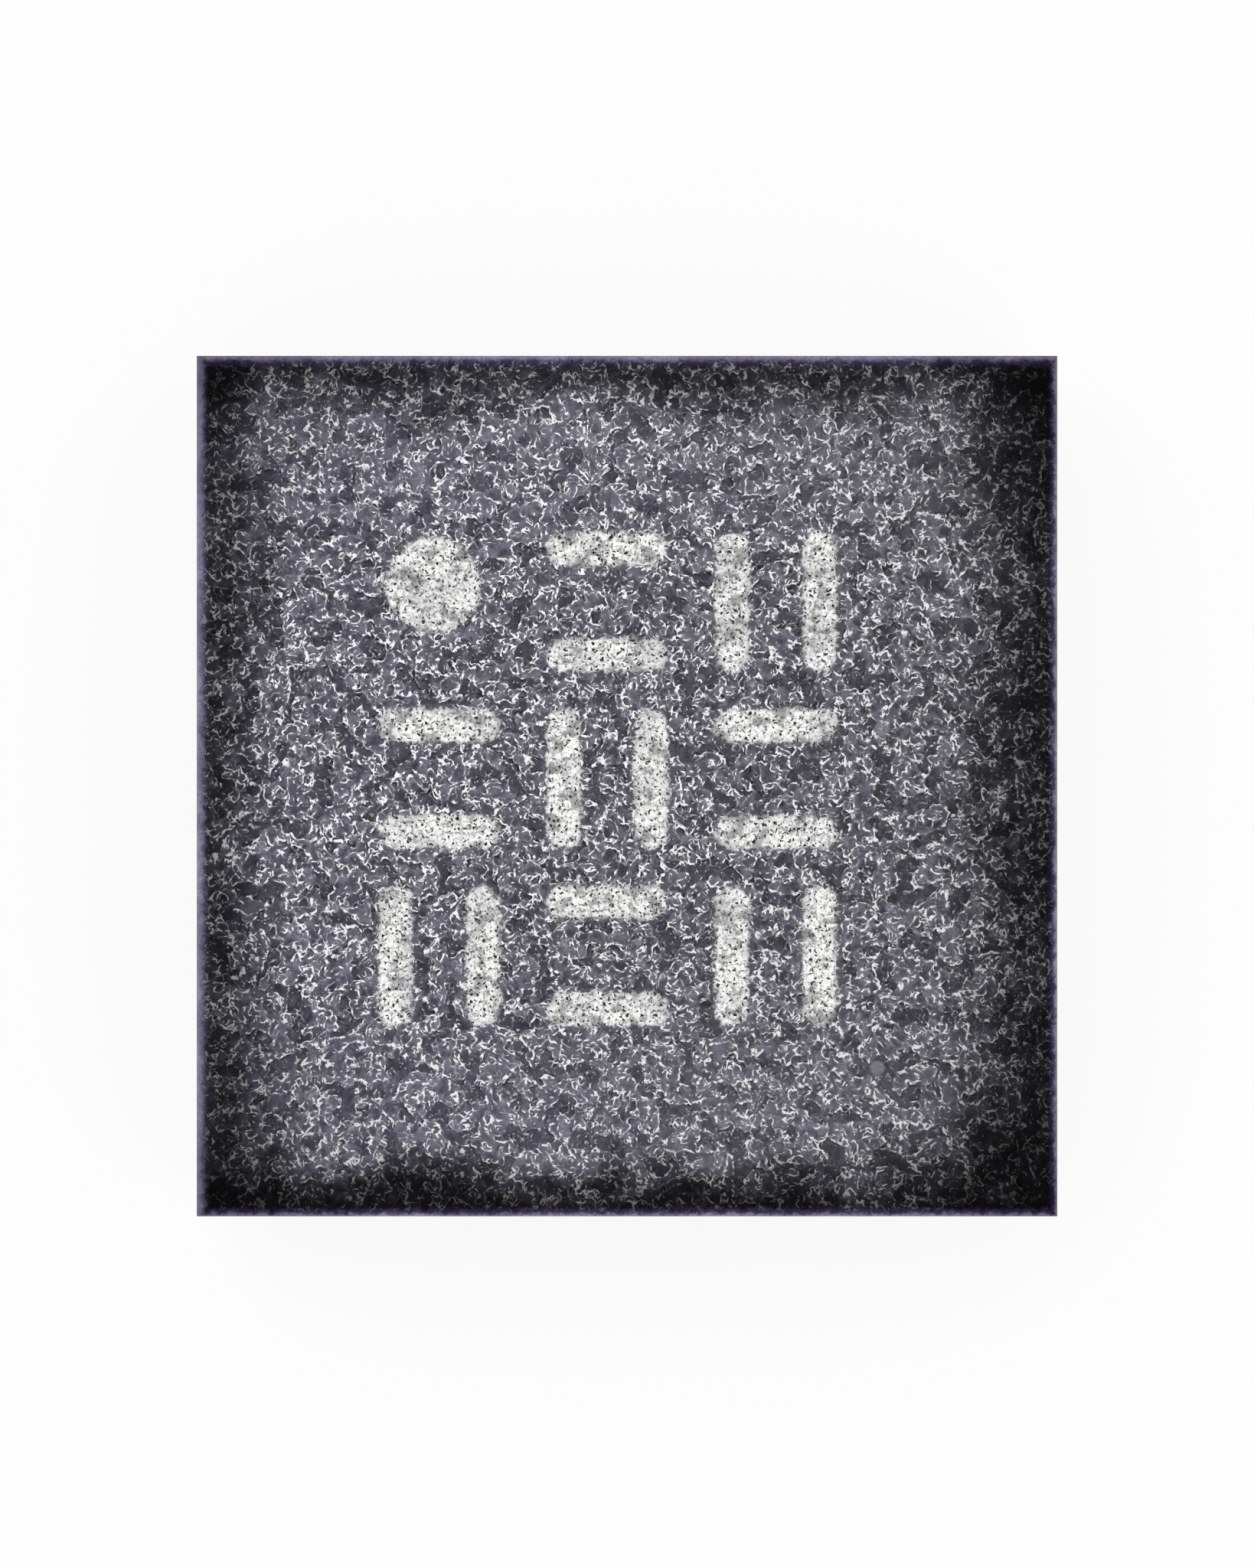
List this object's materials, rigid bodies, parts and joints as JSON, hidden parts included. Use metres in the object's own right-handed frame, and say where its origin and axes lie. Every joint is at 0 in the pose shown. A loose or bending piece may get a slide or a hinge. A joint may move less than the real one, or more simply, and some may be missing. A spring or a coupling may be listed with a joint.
{
  "type": "gyroscope chip",
  "caption": "Square moulded gyroscope chip with a rough dark top, plain laser marks, a round orientation dot and gold solder pads beneath.",
  "frame": {"origin": "middle of the package outline, on the plane of the contact pads", "axes": "+Z out of the marked top face, +Y towards the row of marks with the orientation dot, +X to the right when looking down on the marks"},
  "size_m": [0.003, 0.003, 0.0009],
  "materials": {
    "mould": "rough dark epoxy mould, violet grey with fine glints",
    "laminate": "sawn glass and resin laminate",
    "solder_mask": "dark green solder mask",
    "gold": "gold plating, satin",
    "copper": "plated copper",
    "die_film": "die attach film",
    "silicon": "polished silicon, ground back",
    "sensor_layer": "etched silicon"
  },
  "bodies": {
    "root": {"mould_body": "mould", "substrate_core": "laminate", "top_mask": "solder_mask", "bottom_mask": "solder_mask", "vias": "copper", "bond_fingers": "gold", "control_film": "die_film", "control_die": "silicon", "sensor_film": "die_film", "sensor_base": "silicon", "seal_ring": "sensor_layer", "vibrating_masses": "sensor_layer", "fixed_electrodes": "sensor_layer", "sensor_cap": "silicon", "contact_pad_1": "gold", "contact_pad_2": "gold", "contact_pad_3": "gold", "contact_pad_4": "gold", "contact_pad_5": "gold", "contact_pad_6": "gold", "contact_pad_7": "gold", "contact_pad_8": "gold", "contact_pad_9": "gold", "contact_pad_10": "gold", "contact_pad_11": "gold", "contact_pad_12": "gold", "contact_pad_13": "gold", "contact_pad_14": "gold", "contact_pad_15": "gold", "contact_pad_16": "gold", "bond_wire_1": "gold", "bond_wire_2": "gold", "bond_wire_3": "gold", "bond_wire_4": "gold", "bond_wire_5": "gold", "bond_wire_6": "gold", "bond_wire_7": "gold", "bond_wire_8": "gold", "bond_wire_9": "gold", "bond_wire_10": "gold", "bond_wire_11": "gold", "bond_wire_12": "gold", "bond_wire_13": "gold", "bond_wire_14": "gold", "bond_wire_15": "gold", "bond_wire_16": "gold", "sensor_wire_1": "gold", "sensor_wire_2": "gold", "sensor_wire_3": "gold", "sensor_wire_4": "gold", "sensor_wire_5": "gold", "sensor_wire_6": "gold", "sensor_wire_7": "gold", "sensor_wire_8": "gold"}
  },
  "joints": []
}
